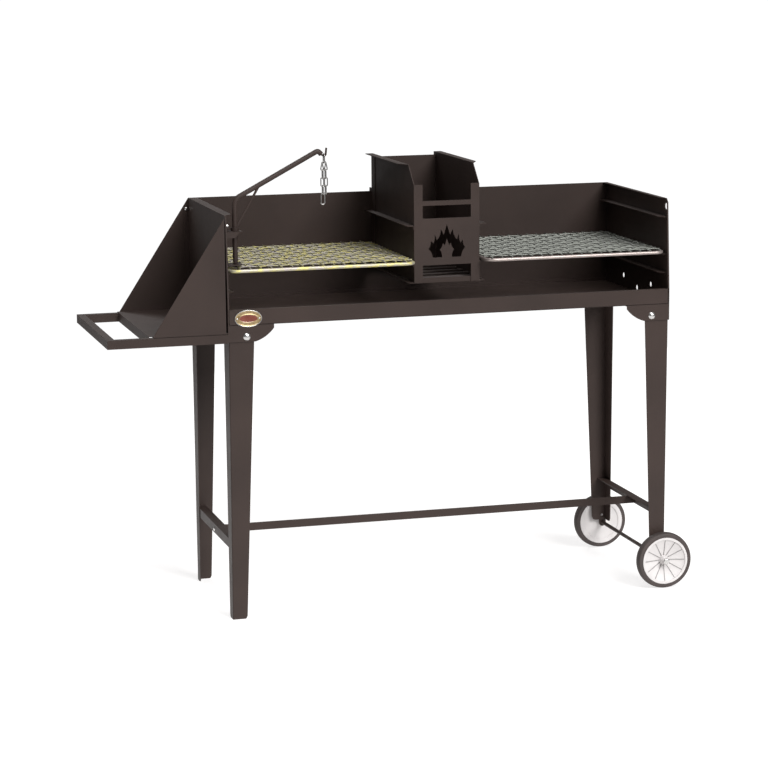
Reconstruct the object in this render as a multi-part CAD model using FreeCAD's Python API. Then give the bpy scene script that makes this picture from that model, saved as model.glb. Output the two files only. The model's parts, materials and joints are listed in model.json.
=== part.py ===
import FreeCAD, Part
import math
import os

# Charcoal and wood barbecue on a tall leg frame: an open-fronted sheet-steel firebox with a side shelf
# and push handle on the left, two lift-in cooking grates, a hanging fire basket between them, a
# swinging pot arm with a chain, and two wheels under the right-hand legs.
# Millimetres. X runs along the firebox, Y from front to back, Z up. Each piece is drawn about the
# middle of the firebox, then the whole part is moved along X so that its origin is on the ground under
# the middle of its overall length, push handle and wheels included.

# ---- driving dimensions -------------------------------------------------------------------------
SHEET = 2.0                     # steel sheet
HALF_W = 590.0                  # firebox, half its width
HALF_D = 233.0                  # firebox, half its depth
WALL_TOP = 1035.0               # top of the firebox walls
FLOOR_Z = 760.0                 # underside of the firebox floor
APRON_TOP = 800.0               # top of the low front wall
SKIRT_Z = 718.0                 # lower edge of the side walls and corner gussets
FRONT_LEAN = 14.0               # set-back of the side walls' front edge at the top
LEFT_FLANGE = 23.0              # inward top flange of the left wall
RIGHT_FLANGE = 12.0             # inward top flange of the right wall
RETURN_W = 4.0                  # return fold on the side walls' front edges

LEDGE_W = 20.0                  # grate ledges on the side walls
LEDGE_TOPS = (988.0, 890.0, 842.0)
LEDGE_DROP = 10.0

GUSSET_W = 118.0                # corner gussets under the apron
GUSSET_TIP = 9.0
GUSSET_SHELF = 30.0

LEG_FRONT_TOP, LEG_FRONT_FOOT = 66.0, 38.0      # leg flange seen from the front, at top and ground
LEG_SIDE_TOP, LEG_SIDE_FOOT = 60.0, 34.0        # leg flange seen from the side
LEG_TOP = FLOOR_Z - 5.0
LEG_LEAN = 12.0                 # how far each leg comes in from front and back at the ground
LEG_BEND_R = 3.0
FOOT_TRIM = 1.5                 # cut off the leaning feet, so that they stand flat

BAR_TOP = 203.0                 # lower frame
BAR_H = 24.0
BAR_FLANGE = 24.0
STRETCHER_H = 21.0

WHEEL_R = 75.0
WHEEL_W = 26.0
DISC_R = 62.5
HUB_PROUD = 4.0                 # hub, past the tyre's faces
AXLE_R = 5.0
AXLE_X = HALF_W - 12.0
WHEEL_Y = 242.0                 # middle plane of each wheel
WHEEL_LEG_FOOT = 83.0           # the wheeled legs stop here, with a lug round the axle
LUG_R = 11.0
RUN_GAP = 0.08                  # radial clearance of a running fit

SHELF_OUT = 191.0               # side shelf, from the left wall
SHELF_Z = 738.0
SPACER = 5.0                    # its front plate stands this far off the wall
SEAM = 1.6                      # its floor's front edge, in from the front plate's face
HANDLE_OUT = 305.0              # push handle, from the left wall
TUBE_W, TUBE_H, TUBE_T = 20.0, 22.0, 1.6

BASKET_L, BASKET_R = -89.0, 86.0                # fire basket, outer faces of its side panels
BASKET_Y = HALF_D - 53.0        # its front face, measured forward of the middle
BASKET_FOOT = 837.5
BASKET_SHOULDER = 1090.0        # top of the front uprights
BASKET_TOP = 1138.0             # top of the side panels
BASKET_REAR = 215.5             # rear edge of the side panels
HANGER_W = 33.0                 # strips up their rear edges that hook over the back wall
BASKET_BACK_Y = 195.0
UPRIGHT_W = 23.0
BASKET_LEDGES = (986.0, 889.7)
BASKET_LEDGE_W = 20.0
RIM_W = 18.0                    # outward flange along the top of each side panel
BASE_W = 15.0                   # outward flange along its foot

# right half of the flame cut-out and of the small solid flame in it, as (x, z) from its foot
FLAME = [(0.0, 85.0), (6.0, 66.0), (10.0, 58.0), (17.0, 72.0), (22.0, 52.0), (28.0, 45.0), (33.0, 59.0),
         (37.0, 36.0), (43.0, 43.0), (49.5, 23.0), (38.0, 0.0)]
FLAME_CORE = [(0.0, 49.0), (6.0, 31.0), (11.0, 37.0), (19.0, 21.0), (13.5, 0.0)]

GRATE_FRONT, GRATE_BACK = -225.0, 225.0         # cooking grates
GRATE_ROD = 9.0
WIRE = 4.5
WIRE_PITCH = 27.0
GRATE_CORNER_R = 22.0
LEFT_GRATE = (-583.0, -94.0)
RIGHT_GRATE = (91.0, 583.0)

POST_X, POST_Y = -558.0, -186.0                 # pot arm
POST_D = 13.0
POST_FOOT = 911.0
ARM_TOP_X, ARM_TOP_Z = -342.0, 1186.0
ARM_BEND_Z = 1072.0
ARM_BEND_R = 26.0
HOOK_D = 5.0
BRACKET_Z = 993.0
FOOT_PLATE_Z = 910.0
BRACKET_REACH = 47.0
BRACKET_T = 3.0

LINK_WIRE = 3.0
LINK_IN = 20.5                  # clear length inside a chain link
LINK_W = 9.5                    # width between a link's wire centres
TOP_LINK_W = 12.5               # the top link is wider, because it carries both strands
LONG_LINK_IN = 25.0
LINK_GAP = 0.35

BADGE_X, BADGE_Z = -538.0, 777.0
BADGE_A, BADGE_B = 35.0, 21.5


# ---- small shape helpers ------------------------------------------------------------------------
def vec(x, y, z):
    return FreeCAD.Vector(x, y, z)


def box(x0, x1, y0, y1, z0, z1):
    """Axis-aligned block between two corners."""
    return Part.makeBox(x1 - x0, y1 - y0, z1 - z0, vec(x0, y0, z0))


def rod(start, end, radius):
    """Round bar between two points."""
    axis = end.sub(start)
    return Part.makeCylinder(radius, axis.Length, start, axis)


def tube(start, end, outer, inner):
    return rod(start, end, outer).cut(rod(start, end, inner))


def plate_xz(points, y0, y1):
    """Flat plate with an outline given as (x, z) points, between two depths."""
    wire = Part.makePolygon([vec(x, y0, z) for x, z in points + points[:1]])
    return Part.Face(wire).extrude(vec(0, y1 - y0, 0))


def plate_yz(points, x0, x1):
    """Flat plate with an outline given as (y, z) points."""
    wire = Part.makePolygon([vec(x0, y, z) for y, z in points + points[:1]])
    return Part.Face(wire).extrude(vec(x1 - x0, 0, 0))


def plate_xy(points, z0, z1):
    """Flat plate with an outline given as (x, y) points."""
    wire = Part.makePolygon([vec(x, y, z0) for x, y in points + points[:1]])
    return Part.Face(wire).extrude(vec(0, 0, z1 - z0))


def fuse(first, *others):
    """Join touching shapes into one clean solid."""
    return first.multiFuse(list(others)).removeSplitter()


def group(*solids):
    return Part.makeCompound(list(solids))


def mirror_x(shape):
    return shape.mirror(vec(0, 0, 0), vec(1, 0, 0))


def mirror_y(shape):
    return shape.mirror(vec(0, 0, 0), vec(0, 1, 0))


def swept_rod(path, radius):
    """Round bar along a wire made of straight runs and tangent arcs."""
    start = path.Edges[0].Vertexes[0].Point
    tangent = path.Edges[0].tangentAt(path.Edges[0].FirstParameter)
    profile = Part.Wire(Part.makeCircle(radius, start, tangent))
    return path.makePipeShell([profile], True, False)


def rounded_run(points, radii):
    """Wire through points, with an arc of the given radius at each inner point."""
    edges = []
    start = points[0]
    for corner, after, radius in zip(points[1:-1], points[2:], radii):
        back = start.sub(corner).normalize()
        ahead = after.sub(corner).normalize()
        half = back.getAngle(ahead) / 2.0
        reach = radius / math.tan(half)
        enter = corner + back * reach
        leave = corner + ahead * reach
        bisector = (back + ahead).normalize()
        middle = corner + bisector * (radius / math.sin(half) - radius)
        edges.append(Part.makeLine(start, enter))
        edges.append(Part.Arc(enter, middle, leave).toShape())
        start = leave
    edges.append(Part.makeLine(start, points[-1]))
    return Part.Wire(edges)


def bolt(head, direction, head_r, shank_r, grip, nut_h=4.0):
    """Mushroom-headed bolt with its nut: head centre on the outer face, shank along the direction."""
    direction = vec(*direction)
    dome = Part.makeSphere(head_r * 1.25, head + direction * (head_r * 1.25 - head_r * 0.5))
    dome = dome.common(Part.makeCylinder(head_r, head_r, head, direction * -1))
    shank = Part.makeCylinder(shank_r, grip + nut_h + 1.0, head, direction)
    nut_at = head + direction * grip
    nut = Part.makeCylinder(shank_r * 1.75, nut_h, nut_at, direction)
    return fuse(dome, shank, nut)


# ---- firebox ------------------------------------------------------------------------------------
GUSSET_BOLT_X = HALF_W - 48.0
GUSSET_BOLT_Z = 731.0
GUSSET_BOLT_R = 4.0
WALL_BOLT_R = 2.5
BRACKET_BOLT = vec(-HALF_W, -HALF_D + 26.0, 1009.0)
REAR_WALL_BOLT = vec(-HALF_W - 6.0, HALF_D - 2 * SHEET, 1006.0)
CLEAR = 0.3


def side_wall(flange, top_corner_r):
    """Left side wall: sheet, inward top flange with its front corner cut, and front return fold."""
    front_top = -HALF_D + FRONT_LEAN
    outline = [(-HALF_D, SKIRT_Z), (HALF_D - SHEET, SKIRT_Z), (HALF_D - SHEET, WALL_TOP)]
    outline += [(front_top + top_corner_r, WALL_TOP), (front_top, WALL_TOP - top_corner_r)]
    outline += [(-HALF_D, APRON_TOP)]
    sheet = plate_yz(outline, -HALF_W, -HALF_W + SHEET)
    cut_back = 32.0
    rim = plate_xy([(-HALF_W, front_top + top_corner_r), (-HALF_W + flange, front_top + cut_back),
                    (-HALF_W + flange, HALF_D - SHEET), (-HALF_W, HALF_D - SHEET)],
                   WALL_TOP - SHEET, WALL_TOP)
    fold = plate_yz([(-HALF_D, APRON_TOP), (-HALF_D + SHEET, APRON_TOP),
                     (front_top + SHEET, WALL_TOP - top_corner_r), (front_top, WALL_TOP - top_corner_r)],
                    -HALF_W, -HALF_W + RETURN_W)
    return fuse(sheet, rim, fold)


def left_wall():
    """Left wall, with the strip that the side shelf's rear plate is bolted to."""
    strip = plate_xz([(-HALF_W, SHELF_Z + SHEET), (-HALF_W, 1024.0), (-HALF_W - 13.0, 1008.0),
                      (-HALF_W - 13.0, SHELF_Z + SHEET)], HALF_D - 2 * SHEET, HALF_D - SHEET)
    wall = fuse(side_wall(LEFT_FLANGE, 6.0), strip)
    wall = wall.cut(rod(REAR_WALL_BOLT - vec(0, 10, 0), REAR_WALL_BOLT + vec(0, 30, 0), WALL_BOLT_R + CLEAR))
    return wall.cut(rod(BRACKET_BOLT - vec(20, 0, 0), BRACKET_BOLT + vec(20, 0, 0), WALL_BOLT_R + CLEAR))


def right_wall():
    """Right wall, with three vent holes low down and one hole by its front top corner."""
    wall = mirror_x(side_wall(RIGHT_FLANGE, 10.0))
    vents = [(-104.0, 795.0, 7.0), (-4.0, 773.0, 7.0), (96.0, 794.0, 7.0), (-208.0, 1014.0, 8.5)]
    for y, z, radius in vents:
        wall = wall.cut(rod(vec(HALF_W - 10, y, z), vec(HALF_W + 10, y, z), radius))
    return wall


def back_wall():
    sheet = box(-HALF_W, HALF_W, HALF_D - SHEET, HALF_D, FLOOR_Z, WALL_TOP)
    return sheet.cut(rod(REAR_WALL_BOLT, REAR_WALL_BOLT + vec(0, 20, 0), WALL_BOLT_R + CLEAR))


def firebox_floor():
    """Ash floor between the walls, with a short lip up the back wall."""
    inner = HALF_W - SHEET
    floor = box(-inner, inner, -HALF_D + SHEET, HALF_D - SHEET, FLOOR_Z, FLOOR_Z + SHEET)
    lip = box(-inner, inner, HALF_D - 2 * SHEET, HALF_D - SHEET, FLOOR_Z, FLOOR_Z + 10.0)
    return fuse(floor, lip)


def front_apron():
    """Low front wall: a face with its top and bottom edges folded in."""
    inner = HALF_W - RETURN_W
    low = FLOOR_Z + SHEET
    face = box(-inner, inner, -HALF_D, -HALF_D + SHEET, low, APRON_TOP)
    top = box(-inner, inner, -HALF_D, -HALF_D + 12.0, APRON_TOP - SHEET, APRON_TOP)
    foot = box(-inner, inner, -HALF_D, -HALF_D + 14.0, low, low + SHEET)
    return fuse(face, top, foot)


def ledge(top, x_wall, width, y0, y1, side, cut):
    """Folded strip on a wall: a shelf with its front corner cut, and a leg down the wall."""
    x_edge = x_wall + side * width
    shelf = plate_xy([(x_wall, y0), (x_edge - side * cut, y0), (x_edge, y0 + cut), (x_edge, y1),
                      (x_wall, y1)], top - SHEET, top)
    inner = x_wall + side * SHEET
    leg = box(min(x_wall, inner), max(x_wall, inner), y0, y1, top - LEDGE_DROP, top)
    return fuse(shelf, leg)


def wall_ledges(starts):
    """The three ledges of the left wall, each from its own front end to the back wall."""
    y1 = HALF_D - 2 * SHEET - 1.0
    return group(*[ledge(top, -HALF_W + SHEET, LEDGE_W, y0, y1, 1, 12.0)
                   for top, y0 in zip(LEDGE_TOPS, starts)])


def ledges_left():
    """The top ledge starts behind the pot arm's upper bracket."""
    return wall_ledges((POST_Y + 27.0, -HALF_D + 18.0, -HALF_D + 18.0))


def ledges_right():
    return mirror_x(wall_ledges([-HALF_D + 18.0] * 3))


# ---- gussets, legs and lower frame --------------------------------------------------------------
def gusset():
    """Front left corner gusset: a rounded plate flush with the apron and a shelf under the floor."""
    left, right = -HALF_W, -HALF_W + GUSSET_W
    bend_x = -HALF_W + 70.0
    top = FLOOR_Z
    arc = Part.Arc(vec(right, -HALF_D, top - GUSSET_TIP), vec(right - 24.5, -HALF_D, SKIRT_Z + 10.5),
                   vec(bend_x, -HALF_D, SKIRT_Z)).toShape()
    corners = [vec(bend_x, -HALF_D, SKIRT_Z), vec(left, -HALF_D, SKIRT_Z), vec(left, -HALF_D, top),
               vec(right, -HALF_D, top), vec(right, -HALF_D, top - GUSSET_TIP)]
    lines = [Part.makeLine(a, b) for a, b in zip(corners, corners[1:])]
    face = Part.Face(Part.Wire([arc] + lines)).extrude(vec(0, SHEET, 0))
    notch = box(left, left + SHEET, -HALF_D - 1, -HALF_D + SHEET, SKIRT_Z, top)
    shelf = box(left + SHEET, right, -HALF_D + SHEET, -HALF_D + GUSSET_SHELF, top - SHEET, top)
    hole = rod(vec(-GUSSET_BOLT_X, -HALF_D - 5, GUSSET_BOLT_Z),
               vec(-GUSSET_BOLT_X, -HALF_D + 5, GUSSET_BOLT_Z), GUSSET_BOLT_R + CLEAR)
    return fuse(face, shelf).cut(notch).cut(hole)


def leg(foot_z, lug):
    """Front left leg: an angle of folded sheet that tapers to the foot and leans in a little."""
    x0, y0 = -HALF_W + SHEET, -HALF_D + SHEET
    low = foot_z - 40.0
    angle = box(x0, x0 + LEG_FRONT_TOP, y0, y0 + LEG_SIDE_TOP, low, LEG_TOP)
    angle = angle.makeFillet(LEG_BEND_R, [e for e in angle.Edges if is_upright_at(e, x0, y0)])
    hollow = box(x0 + SHEET, x0 + 90, y0 + SHEET, y0 + 90, low, LEG_TOP)
    angle = angle.cut(hollow)
    front = plate_xz(flange_outline(x0, LEG_FRONT_TOP, LEG_FRONT_FOOT, foot_z, lug), y0 - 1, y0 + 90)
    side = plate_yz(flange_outline(y0, LEG_SIDE_TOP, LEG_SIDE_FOOT, foot_z, False), x0 - 1, x0 + 90)
    body = angle.common(front).common(fuse(side, box(x0 - 1, x0 + 90, y0, y0 + SHEET, low, LEG_TOP)))
    lean = math.degrees(math.atan2(LEG_LEAN, LEG_TOP))
    body.rotate(vec(x0, y0, LEG_TOP), vec(1, 0, 0), lean)
    return body


def is_upright_at(edge, x, y):
    """True for the vertical edge that stands at (x, y)."""
    return all(abs(v.X - x) < 1e-3 and abs(v.Y - y) < 1e-3 for v in edge.Vertexes)


def flange_outline(outer, top_w, ground_w, foot_z, lug):
    """Leg flange outline across one axis: tapered, with its free bottom corner cut round."""
    def width(z):
        return ground_w + (top_w - ground_w) * z / LEG_TOP
    inner = outer + width(foot_z)
    bevel = 9.0
    points = [(outer, LEG_TOP), (outer + top_w, LEG_TOP), (inner + 0.3, foot_z + bevel)]
    points += [(inner - 0.3 * bevel, foot_z + 0.3 * bevel), (inner - bevel, foot_z)]
    if lug:
        centre_x = -AXLE_X
        reach = LUG_R * math.sin(math.radians(65))
        points += [(centre_x + reach, foot_z), (centre_x + reach, WHEEL_R)]
        for turn in range(-30, -151, -30):
            points.append((centre_x + LUG_R * math.cos(math.radians(turn)),
                           WHEEL_R + LUG_R * math.sin(math.radians(turn))))
        points.append((outer, WHEEL_R))
        return points
    return points + [(outer, foot_z)]


def flange_front_y(z):
    """Front face of a leg's front flange at a height, with the lean."""
    return -HALF_D + SHEET + (LEG_TOP - z) * LEG_LEAN / LEG_TOP


def drilled_leg(shape, wheeled):
    """Front left leg with its gusset bolt hole and, on a wheeled leg, the axle hole."""
    shape = shape.cut(rod(vec(-GUSSET_BOLT_X, -HALF_D - 5, GUSSET_BOLT_Z),
                          vec(-GUSSET_BOLT_X, -HALF_D + 9, GUSSET_BOLT_Z), GUSSET_BOLT_R + CLEAR))
    if wheeled:
        near = vec(-AXLE_X, -HALF_D, WHEEL_R)
        shape = shape.cut(rod(near, near + vec(0, 60, 0), AXLE_R))
        spare = vec(-AXLE_X + 2.0, -HALF_D, WHEEL_R + 21.0)
        return shape.cut(rod(spare, spare + vec(0, 60, 0), 3.5))
    return shape.cut(box(-700, 700, -300, 300, -100, 0))


def crossbar():
    """Left crossbar: an angle between the left legs, its upright flange outside."""
    x0 = -HALF_W + 2 * SHEET
    half = -flange_front_y(BAR_TOP) - SHEET - 1.2
    upright = box(x0, x0 + SHEET, -half, half, BAR_TOP - BAR_H, BAR_TOP)
    top = box(x0, x0 + BAR_FLANGE, -half, half, BAR_TOP - SHEET, BAR_TOP)
    hole = rod(vec(x0 - 5, 0, STRETCHER_BOLT_Z), vec(x0 + 8, 0, STRETCHER_BOLT_Z), 3.0 + CLEAR)
    return fuse(upright, top).cut(hole)


STRETCHER_BOLT_Z = BAR_TOP - 14.0


def stretcher():
    """Long angle between the crossbars, with a bent tab at each end that takes the bolt."""
    end = HALF_W - 3 * SHEET
    z1 = BAR_TOP - SHEET - 0.5
    z0 = z1 - STRETCHER_H
    face = box(-end, end, -10.0, -10.0 + SHEET, z0, z1)
    foot = box(-end, end, -10.0, 10.0, z0, z0 + SHEET)
    tabs = [box(x, x + SHEET, -10.0, 11.0, z0, z1) for x in (-end, end - SHEET)]
    body = fuse(face, foot, *tabs)
    return body.cut(rod(vec(-700, 0, STRETCHER_BOLT_Z), vec(700, 0, STRETCHER_BOLT_Z), 3.0 + CLEAR))


def stretcher_bolts():
    x = HALF_W - 2 * SHEET
    left = bolt(vec(-x, 0, STRETCHER_BOLT_Z), (1, 0, 0), 6.5, 3.0, 2 * SHEET, 3.5)
    return group(left, mirror_x(left))


def gusset_bolts():
    """One bolt through each gusset and leg."""
    corner = bolt(vec(-GUSSET_BOLT_X, -HALF_D, GUSSET_BOLT_Z), (0, 1, 0), 9.5, GUSSET_BOLT_R,
                  2 * SHEET + 1.1, 5.0)
    rear = mirror_y(corner)
    return group(corner, mirror_x(corner), rear, mirror_x(rear))


# ---- wheels -------------------------------------------------------------------------------------
def ring_y(outer, inner, y0, y1, x=AXLE_X, z=WHEEL_R):
    return tube(vec(x, y0, z), vec(x, y1, z), outer, inner)


def tyre():
    """Front tyre: solid rubber ring with rounded shoulders."""
    y0, y1 = -WHEEL_Y - WHEEL_W / 2, -WHEEL_Y + WHEEL_W / 2
    body = Part.makeCylinder(WHEEL_R, WHEEL_W, vec(AXLE_X, y0, WHEEL_R), vec(0, 1, 0))
    rims = [e for e in body.Edges if isinstance(e.Curve, Part.Circle)]
    body = body.makeFillet(6.0, rims)
    return body.cut(rod(vec(AXLE_X, y0 - 1, WHEEL_R), vec(AXLE_X, y1 + 1, WHEEL_R), DISC_R - 6.0))


def wheel_disc():
    """Front wheel disc: a rim that fills the tyre, a web that sinks to the hub, and twelve fine ribs."""
    bore = AXLE_R + RUN_GAP
    seat = DISC_R - 6.0
    profile = [(bore, -HUB_PROUD), (9.0, -HUB_PROUD), (12.5, 13.0), (seat - 1.0, 1.5), (seat - 0.5, -1.0), (DISC_R, -1.0),
               (DISC_R, -0.1), (seat, -0.1), (seat, WHEEL_W + 0.1), (DISC_R, WHEEL_W + 0.1),
               (DISC_R, WHEEL_W + 1.0), (51.0, WHEEL_W + 1.0), (50.0, WHEEL_W - 1.0),
               (13.0, WHEEL_W - 1.0), (13.0, WHEEL_W + HUB_PROUD), (bore, WHEEL_W + HUB_PROUD)]
    disc = wheel_section(profile, 0.0, 0.0)
    disc = disc.revolve(vec(AXLE_X, 0, WHEEL_R), vec(0, 1, 0), 360)
    rib = wheel_section([(11.0, 12.6), (seat - 0.7, 0.0), (seat - 0.7, 3.0), (11.0, 15.6)], -0.8, 1.6)
    ribs = []
    for k in range(12):
        turned = rib.copy()
        turned.rotate(vec(AXLE_X, 0, WHEEL_R), vec(0, 1, 0), 30.0 * k)
        ribs.append(turned)
    return fuse(disc, *ribs)


def wheel_section(profile, offset, width):
    """Half-section of a wheel as (radius, depth from its outer face), above the axle; a width extrudes it."""
    outer_y = -WHEEL_Y - WHEEL_W / 2
    points = [vec(AXLE_X + offset, outer_y + depth, WHEEL_R + radius) for radius, depth in profile]
    face = Part.Face(Part.makePolygon(points + points[:1]))
    if width:
        return face.extrude(vec(width, 0, 0))
    return face


def axle():
    reach = WHEEL_Y + WHEEL_W / 2 + 8.0
    return rod(vec(AXLE_X, -reach, WHEEL_R), vec(AXLE_X, reach, WHEEL_R), AXLE_R)


def axle_caps():
    """Push-on caps outside the wheels and plain collars between wheels and legs."""
    tip = WHEEL_Y + WHEEL_W / 2 + 8.0
    hub_out = WHEEL_Y + WHEEL_W / 2 + HUB_PROUD + CLEAR
    hub_in = WHEEL_Y - WHEEL_W / 2 - HUB_PROUD - CLEAR
    leg_y = -flange_front_y(WHEEL_R - 12.0) + 0.6
    cap = Part.makeCylinder(8.0, tip + 3.0 - hub_out, vec(AXLE_X, -tip - 3.0, WHEEL_R), vec(0, 1, 0))
    cap = cap.makeFillet(2.5, [e for e in cap.Edges if abs(e.BoundBox.YMax + tip + 3.0) < 1e-3])
    cap = cap.cut(rod(vec(AXLE_X, -tip, WHEEL_R), vec(AXLE_X, 0, WHEEL_R), AXLE_R))
    collar = ring_y(8.0, AXLE_R, -hub_in, -leg_y)
    return group(cap, collar, mirror_y(cap), mirror_y(collar))


# ---- side shelf and push handle -----------------------------------------------------------------
def shelf_front_plate():
    """Three-cornered front plate of the side shelf, folded back along the wall and held off it."""
    x1 = -HALF_W - SPACER
    low = SHELF_Z + SHEET
    sheet = plate_xz([(-HALF_W - SHELF_OUT, low), (x1, low), (x1, 1030.0)], -HALF_D, -HALF_D + SHEET)
    flange = plate_yz([(-HALF_D, low), (-HALF_D + 35.0, low), (-HALF_D + 35.0, 1016.0),
                       (-HALF_D + 24.0, 1022.0), (-HALF_D, 1022.0)], x1 - SHEET, x1)
    spacer = tube(BRACKET_BOLT - vec(SPACER, 0, 0), BRACKET_BOLT, 5.0, WALL_BOLT_R + CLEAR)
    foot = box(x1 - SHEET, -HALF_W, -HALF_D, -HALF_D + 30.0, low, low + SHEET)
    hole = rod(BRACKET_BOLT - vec(20, 0, 0), BRACKET_BOLT, WALL_BOLT_R + CLEAR)
    return fuse(sheet, flange, spacer, foot).cut(hole)


def shelf_rear_plate():
    low = SHELF_Z + SHEET
    sheet = plate_xz([(-HALF_W - SHELF_OUT, low), (-HALF_W, low), (-HALF_W, WALL_TOP)],
                     HALF_D - SHEET, HALF_D)
    return sheet.cut(rod(REAR_WALL_BOLT, REAR_WALL_BOLT + vec(0, 20, 0), WALL_BOLT_R + CLEAR))


def shelf_floor():
    """Shelf floor lying on the handle tubes, its outer edge folded down between them."""
    x0 = -HALF_W - SHELF_OUT - 6.0
    y0, y1 = -HALF_D, HALF_D
    notch = 9.0
    rest = y0 + TUBE_W
    floor = plate_xy([(-HALF_W, y0 + SEAM), (-HALF_W, y1), (x0, y1), (x0, rest + notch),
                      (x0 + notch, rest + notch), (x0 + notch, y0 + SEAM)], SHELF_Z, SHELF_Z + SHEET)
    lip = box(x0, x0 + SHEET, rest + notch, y1 - TUBE_W - 1.0, SHELF_Z - TUBE_H, SHELF_Z + SHEET)
    return fuse(floor, lip)


def handle_ring():
    """The whole push handle as one square-section U, before it is mitred into three tubes."""
    x0, x1 = -HALF_W - HANDLE_OUT, -HALF_W
    z0, z1 = SHELF_Z - TUBE_H, SHELF_Z
    outer = box(x0, x1, -HALF_D, HALF_D, z0, z1)
    inner = box(x0 + TUBE_W, x1 + 1, -HALF_D + TUBE_W, HALF_D - TUBE_W, z0 - 1, z1 + 1)
    t = TUBE_T
    bore = box(x0 + t, x1 + 1, -HALF_D + t, HALF_D - t, z0 + t, z1 - t)
    bore = bore.cut(box(x0 + TUBE_W - t, x1 + 2, -HALF_D + TUBE_W - t, HALF_D - TUBE_W + t, z0, z1))
    return outer.cut(inner).cut(bore)


def handle_front_tube():
    x0 = -HALF_W - HANDLE_OUT
    wedge = plate_xy([(x0, -HALF_D), (x0 + TUBE_W, -HALF_D + TUBE_W), (-HALF_W, -HALF_D + TUBE_W),
                      (-HALF_W, -HALF_D)], SHELF_Z - 50, SHELF_Z + 50)
    return handle_ring().common(wedge)


def handle_rear_tube():
    return mirror_y(handle_front_tube())


def handle_grip_tube():
    x0 = -HALF_W - HANDLE_OUT
    wedge = plate_xy([(x0, -HALF_D), (x0 + TUBE_W, -HALF_D + TUBE_W), (x0 + TUBE_W, HALF_D - TUBE_W),
                      (x0, HALF_D)], SHELF_Z - 50, SHELF_Z + 50)
    return handle_ring().common(wedge)


def shelf_bolts():
    """Front bolt through plate, spacer, wall and arm bracket; rear bolt through the wall's strip."""
    grip = 2 * SHEET + SPACER + BRACKET_T
    front = bolt(BRACKET_BOLT - vec(SPACER + SHEET, 0, 0), (1, 0, 0), 5.0, WALL_BOLT_R, grip, 4.0)
    rear = bolt(REAR_WALL_BOLT, (0, 1, 0), 5.0, WALL_BOLT_R, 2 * SHEET, 3.0)
    return group(front, rear)


# ---- fire basket --------------------------------------------------------------------------------
FRONT_Y = -BASKET_Y


def flame_plate(half, cx, z0, y0, y1):
    """Plate shaped as a flame: licks of falling height either side of a tall middle one, tips bent outward."""
    right = [(x, z) for x, z in half]
    points = right + [(-x, z) for x, z in reversed(half[1:])]
    edges = []
    for (x0, z_0), (x1, z_1) in zip(points, points[1:] + points[:1]):
        start, end = vec(cx + x0, y0, z0 + z_0), vec(cx + x1, y0, z0 + z_1)
        if z_0 == z_1 or x0 * x1 == 0.0:
            edges.append(Part.makeLine(start, end))
            continue
        bow = 0.1 if (z_1 > z_0) == (x0 + x1 > 0) else -0.1
        run = end - start
        middle = (start + end) * 0.5 + vec(-run.z * bow, 0, run.x * bow)
        edges.append(Part.Arc(start, middle, end).toShape())
    return Part.Face(Part.Wire(edges)).extrude(vec(0, y1 - y0, 0))


def basket_front():
    """Front panel: two uprights, a bar across, a flame cut-out and the ember opening at its foot."""
    y0, y1 = FRONT_Y, FRONT_Y + SHEET
    x0, x1 = BASKET_L, BASKET_R
    panel = box(x0, x1, y0, y1, BASKET_FOOT, BASKET_SHOULDER)
    in0, in1 = x0 + UPRIGHT_W, x1 - UPRIGHT_W
    open_top = box(in0, in1, y0 - 1, y1 + 1, 1048.0, BASKET_SHOULDER + 1)
    window = box(in0, in1, y0 - 1, y1 + 1, 1003.0, 1036.0)
    ember_gap = box(in0, in1, y0 - 1, y1 + 1, BASKET_FOOT - 1, 883.0)
    middle = (x0 + x1) / 2.0
    flame = flame_plate(FLAME, middle, 902.0, y0 - 1, y1 + 1)
    flame = flame.cut(flame_plate(FLAME_CORE, middle, 901.0, y0 - 2, y1 + 2))
    return panel.cut(open_top).cut(window).cut(ember_gap).cut(flame)


def basket_sill():
    """Bar across the foot of the ember opening, set just behind the front panel."""
    y0 = FRONT_Y + SHEET
    in0, in1 = BASKET_L + SHEET, BASKET_R - SHEET
    face = box(in0, in1, y0, y0 + SHEET, BASKET_FOOT, 850.0)
    top = box(in0, in1, y0, y0 + 10.0, 850.0 - SHEET, 850.0)
    return fuse(face, top)


def basket_side():
    """Left side panel: sloped front shoulder and outward flanges at top and foot."""
    x0, x1 = BASKET_L, BASKET_L + SHEET
    y0 = FRONT_Y + SHEET
    drop = BASKET_TOP - BASKET_SHOULDER
    panel = plate_yz([(y0, BASKET_FOOT), (BASKET_REAR, BASKET_FOOT), (BASKET_REAR, BASKET_TOP),
                      (y0 + drop, BASKET_TOP), (y0, BASKET_SHOULDER)], x0, x1)
    top = plate_xy([(x1, y0 + drop), (x0, y0 + drop), (x0 - RIM_W, y0 + drop + 36.0),
                    (x0 - RIM_W, BASKET_REAR), (x1, BASKET_REAR)], BASKET_TOP - SHEET, BASKET_TOP)
    foot = plate_xy([(x1, y0), (x0 - BASE_W + 3.0, y0), (x0 - BASE_W, y0 + 3.0),
                     (x0 - BASE_W, BASKET_REAR), (x1, BASKET_REAR)], BASKET_FOOT, BASKET_FOOT + SHEET)
    return fuse(panel, top, foot)


def mirror_basket(shape):
    """The same piece on the basket's other side."""
    return shape.mirror(vec((BASKET_L + BASKET_R) / 2.0, 0, 0), vec(1, 0, 0))


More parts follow.
